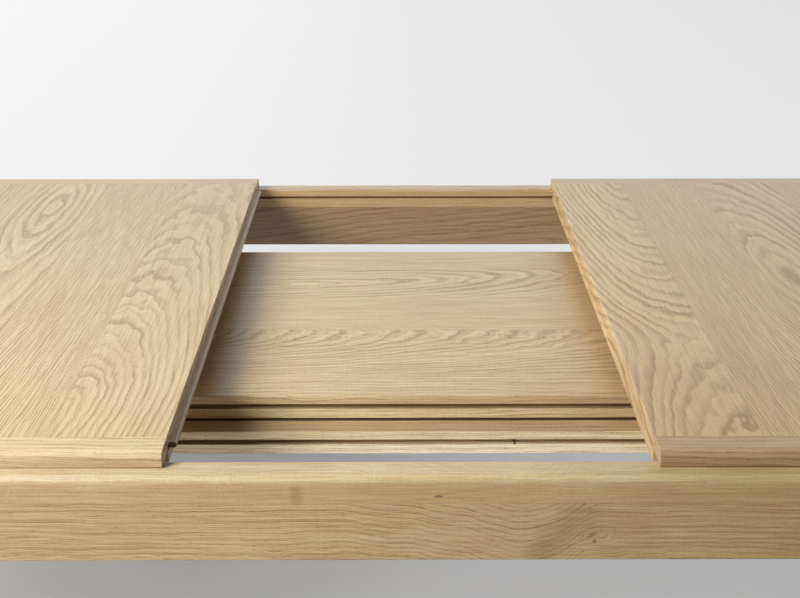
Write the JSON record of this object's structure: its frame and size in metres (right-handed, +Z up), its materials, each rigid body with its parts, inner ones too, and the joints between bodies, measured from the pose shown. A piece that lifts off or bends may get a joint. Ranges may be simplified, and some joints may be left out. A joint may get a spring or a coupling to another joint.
{
  "type": "draw leaf table",
  "caption": "Rectangular wooden dining table with a top in two halves that draw apart on runners, and loose leaves stored one above the other between the rails.",
  "frame": {"origin": "on the floor under the middle of the table, at the bottom centre of its bounding box", "axes": "+X along the table, the way the halves draw; -Y is the front; +Z up, out of the table top"},
  "size_m": [2.334, 0.994, 0.75],
  "materials": {
    "oak_top": "oiled matt oak, grain across the table",
    "oak_lipping": "oiled matt oak, grain along the piece",
    "oak_frame": "oiled matt oak, grain along the piece",
    "oak_leaf": "oiled matt oak, grain along the leaf's longer side",
    "runner_steel": "cold-drawn flat bar, lightly oiled",
    "zinc_steel": "zinc plated",
    "felt": "grey-brown pressed felt",
    "glide_nylon": "dark brown nylon",
    "buffer_rubber": "black rubber"
  },
  "bodies": {
    "base": {"front_rail": "oak_frame", "back_rail": "oak_frame", "left_end_rail": "oak_frame", "right_end_rail": "oak_frame", "left_leaf_bearer": "oak_frame", "right_leaf_bearer": "oak_frame", "leg_front_left": "oak_frame", "corner_block_front_left": "oak_frame", "bearer_hanger_front_left": "oak_frame", "leg_front_right": "oak_frame", "corner_block_front_right": "oak_frame", "bearer_hanger_front_right": "oak_frame", "leg_back_left": "oak_frame", "corner_block_back_left": "oak_frame", "bearer_hanger_back_left": "oak_frame", "leg_back_right": "oak_frame", "corner_block_back_right": "oak_frame", "bearer_hanger_back_right": "oak_frame", "foot_glide_front_left": "glide_nylon", "foot_glide_front_right": "glide_nylon", "foot_glide_back_left": "glide_nylon", "foot_glide_back_right": "glide_nylon", "left_glide_strip": "felt", "right_glide_strip": "felt", "leg_bolts": "zinc_steel", "leg_nuts": "zinc_steel", "runner_buffers": "buffer_rubber", "leg_screws": "zinc_steel", "hanger_screws": "zinc_steel", "bearer_screws": "zinc_steel"},
    "left_half": {"left_top_panel": "oak_top", "left_front_lipping": "oak_lipping", "left_back_lipping": "oak_lipping", "left_tongue": "oak_lipping", "left_front_runner": "runner_steel", "left_back_runner": "runner_steel", "left_runner_screws": "zinc_steel"},
    "right_half": {"right_top_panel": "oak_top", "right_front_lipping": "oak_lipping", "right_back_lipping": "oak_lipping", "right_front_runner": "runner_steel", "right_back_runner": "runner_steel", "right_runner_screws": "zinc_steel"},
    "upper_leaf": {"upper_leaf_panel": "oak_leaf", "upper_leaf_left_lipping": "oak_lipping", "upper_leaf_right_lipping": "oak_lipping", "upper_leaf_tongue": "oak_lipping", "upper_leaf_felt": "felt"},
    "lower_leaf": {"lower_leaf_panel": "oak_leaf", "lower_leaf_left_lipping": "oak_lipping", "lower_leaf_right_lipping": "oak_lipping", "lower_leaf_tongue": "oak_lipping", "lower_leaf_felt": "felt"}
  },
  "joints": [
    {"name": "left_half_slide", "type": "slide", "parent": "base", "child": "left_half", "axis": [-1, 0, 0], "range_m": [-0.26685, 0.25]},
    {"name": "right_half_slide", "type": "slide", "parent": "base", "child": "right_half", "axis": [1, 0, 0], "range_m": [-0.26685, 0.25]},
    {"name": "upper_leaf_slide", "type": "slide", "parent": "base", "child": "upper_leaf", "axis": [1, 0, 0], "range_m": [-0.09, 0.09]},
    {"name": "lower_leaf_slide", "type": "slide", "parent": "base", "child": "lower_leaf", "axis": [1, 0, 0], "range_m": [-0.09, 0.09]}
  ]
}
